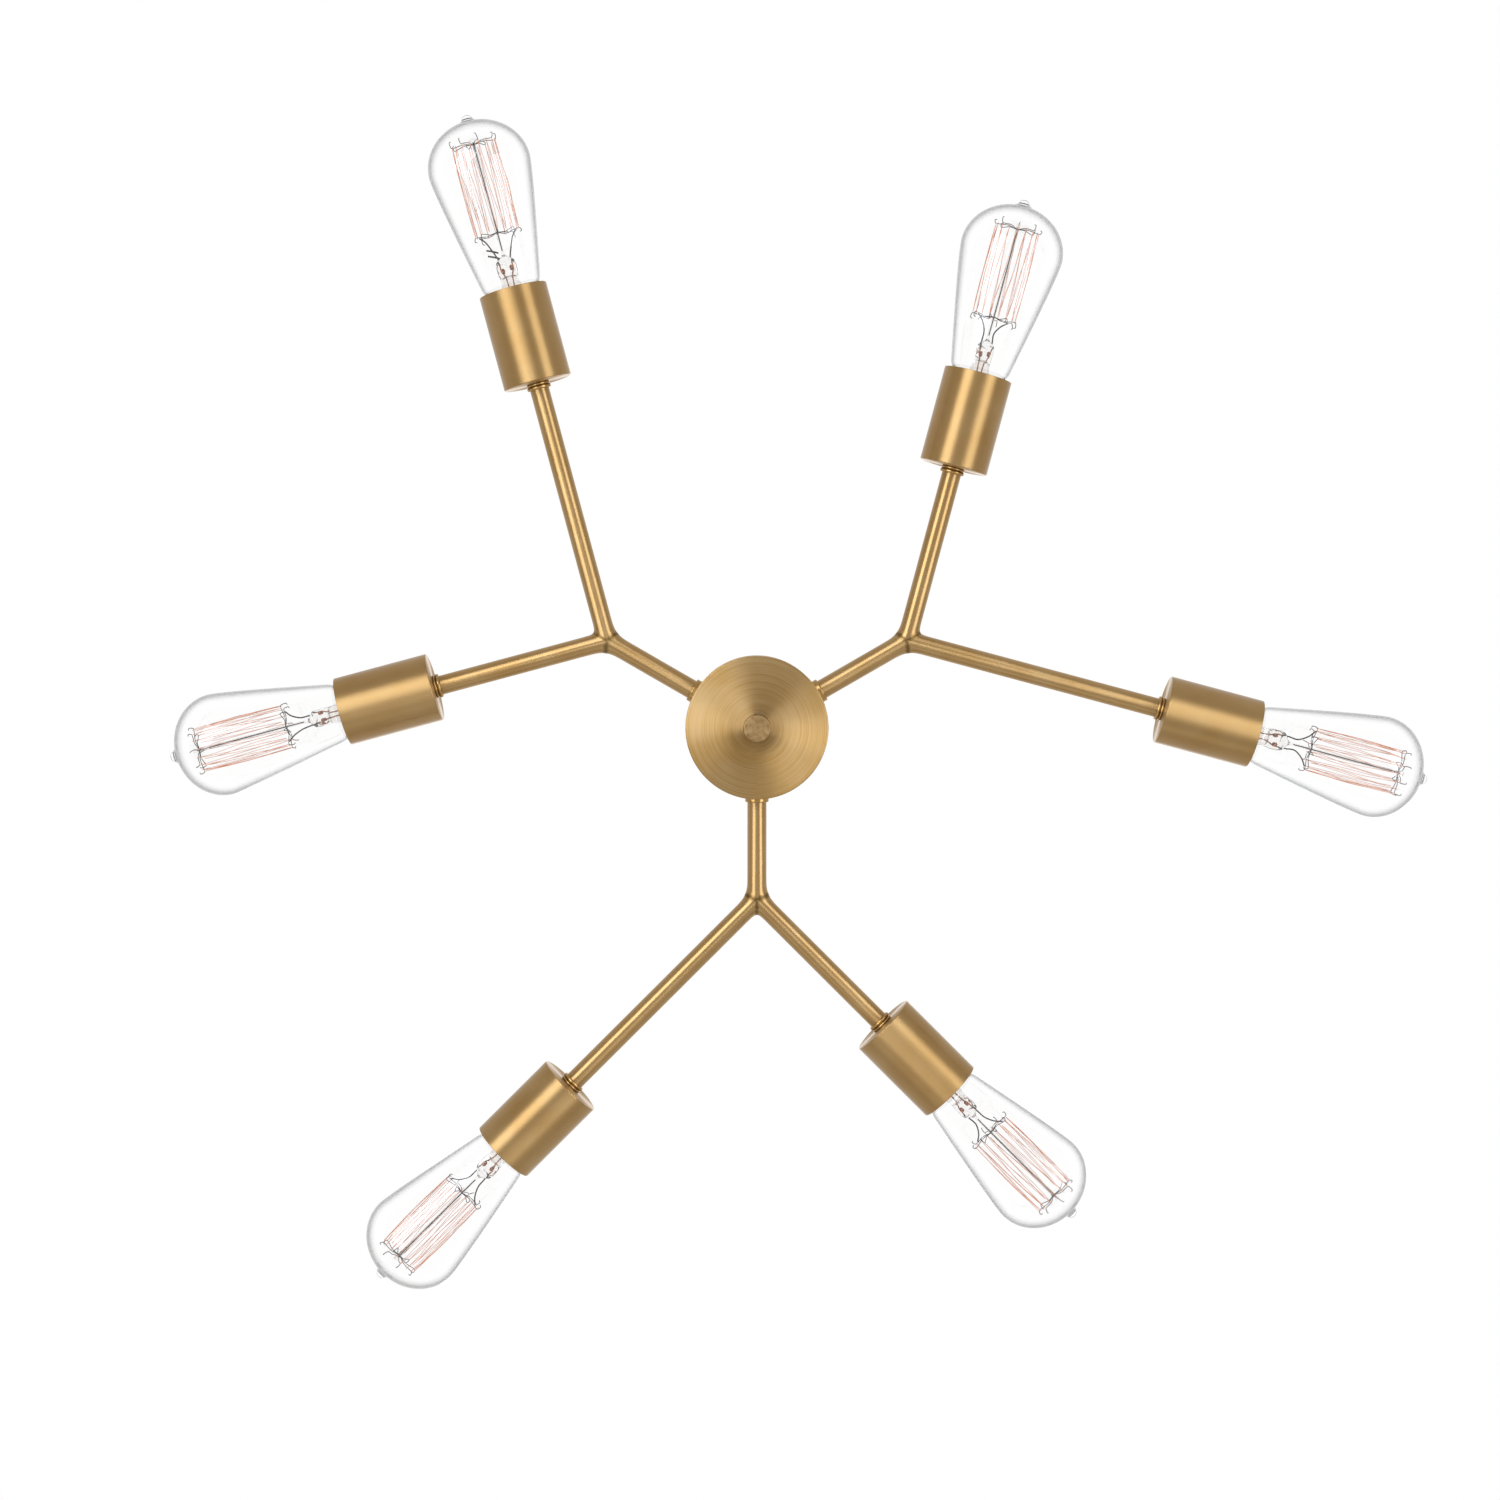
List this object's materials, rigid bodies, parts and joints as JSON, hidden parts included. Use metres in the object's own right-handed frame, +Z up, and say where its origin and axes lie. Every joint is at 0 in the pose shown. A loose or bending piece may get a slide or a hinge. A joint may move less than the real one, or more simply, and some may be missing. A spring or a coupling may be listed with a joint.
{
  "type": "sputnik ceiling light",
  "caption": "Flush ceiling light with a round brushed-brass hub, forked tube arms in one level plane and clear teardrop filament lamps in open cylinder cups.",
  "frame": {"origin": "centre of the ceiling bracket's fixing holes, on the hub's axis, in the plane of the ceiling", "axes": "+Z up into the ceiling along the hub's axis; +Y along the stem of arm a; +X along the bracket's two fixing holes"},
  "size_m": [0.7799, 0.7282, 0.078],
  "materials": {
    "hub_brass": "satin brushed brass, lathe-brushed in circles on its face",
    "cap_nut_brass": "satin brass",
    "cup_brass": "satin brushed brass",
    "tube_brass": "brushed brass tube",
    "collar_brass": "turned brass",
    "holder_plastic": "moulded phenolic, dark",
    "contact_brass": "bare pressed brass",
    "lamp_cap_brass": "bare rolled brass",
    "lamp_glass": "clear blown glass",
    "mount_glass": "clear drawn glass",
    "filament_wire": "fine wire, warm coppery",
    "block_plastic": "moulded nylon, natural",
    "zinc_steel": "zinc-plated steel"
  },
  "bodies": {
    "fixture": {"arm_lock_nuts": "zinc_steel", "arm_nipples": "zinc_steel", "ceiling_bracket": "zinc_steel", "centre_contacts": "contact_brass", "centre_stud": "zinc_steel", "cup_collars": "collar_brass", "cup_lock_nuts": "zinc_steel", "cup_nipples": "zinc_steel", "hub_collars": "collar_brass", "hub_cup": "hub_brass", "lampholder_a_long": "holder_plastic", "lampholder_a_short": "holder_plastic", "lampholder_b_long": "holder_plastic", "lampholder_b_short": "holder_plastic", "lampholder_c_long": "holder_plastic", "lampholder_c_short": "holder_plastic", "long_tube_a": "tube_brass", "long_tube_b": "tube_brass", "long_tube_c": "tube_brass", "screw_shells": "contact_brass", "short_tube_a": "tube_brass", "short_tube_b": "tube_brass", "short_tube_c": "tube_brass", "socket_cup_a_long": "cup_brass", "socket_cup_a_short": "cup_brass", "socket_cup_b_long": "cup_brass", "socket_cup_b_short": "cup_brass", "socket_cup_c_long": "cup_brass", "socket_cup_c_short": "cup_brass", "stem_tube_a": "tube_brass", "stem_tube_b": "tube_brass", "stem_tube_c": "tube_brass", "stud_nut": "zinc_steel", "terminal_block": "block_plastic"},
    "cap_nut": {"cap_nut": "cap_nut_brass"},
    "lamp_a_long": {"filament_a_long": "filament_wire", "lamp_cap_a_long": "lamp_cap_brass", "lamp_glass_a_long": "lamp_glass", "lamp_mount_a_long": "mount_glass"},
    "lamp_a_short": {"filament_a_short": "filament_wire", "lamp_cap_a_short": "lamp_cap_brass", "lamp_glass_a_short": "lamp_glass", "lamp_mount_a_short": "mount_glass"},
    "lamp_b_long": {"filament_b_long": "filament_wire", "lamp_cap_b_long": "lamp_cap_brass", "lamp_glass_b_long": "lamp_glass", "lamp_mount_b_long": "mount_glass"},
    "lamp_b_short": {"filament_b_short": "filament_wire", "lamp_cap_b_short": "lamp_cap_brass", "lamp_glass_b_short": "lamp_glass", "lamp_mount_b_short": "mount_glass"},
    "lamp_c_long": {"filament_c_long": "filament_wire", "lamp_cap_c_long": "lamp_cap_brass", "lamp_glass_c_long": "lamp_glass", "lamp_mount_c_long": "mount_glass"},
    "lamp_c_short": {"filament_c_short": "filament_wire", "lamp_cap_c_short": "lamp_cap_brass", "lamp_glass_c_short": "lamp_glass", "lamp_mount_c_short": "mount_glass"}
  },
  "joints": [
    {"name": "cap_nut_off", "type": "slide", "parent": "fixture", "child": "cap_nut", "axis": [0, 0, -1], "range_m": [0, 0.014]},
    {"name": "lamp_a_long_out", "type": "slide", "parent": "fixture", "child": "lamp_a_long", "axis": [-0.7071, 0.7071, 0], "range_m": [0, 0.034]},
    {"name": "lamp_a_short_out", "type": "slide", "parent": "fixture", "child": "lamp_a_short", "axis": [0.7071, 0.7071, 0], "range_m": [0, 0.034]},
    {"name": "lamp_b_long_out", "type": "slide", "parent": "fixture", "child": "lamp_b_long", "axis": [-0.2588, -0.9659, 0], "range_m": [0, 0.034]},
    {"name": "lamp_b_short_out", "type": "slide", "parent": "fixture", "child": "lamp_b_short", "axis": [-0.9659, 0.2588, 0], "range_m": [0, 0.034]},
    {"name": "lamp_c_long_out", "type": "slide", "parent": "fixture", "child": "lamp_c_long", "axis": [0.9659, 0.2588, 0], "range_m": [0, 0.034]},
    {"name": "lamp_c_short_out", "type": "slide", "parent": "fixture", "child": "lamp_c_short", "axis": [0.2588, -0.9659, 0], "range_m": [0, 0.034]}
  ]
}
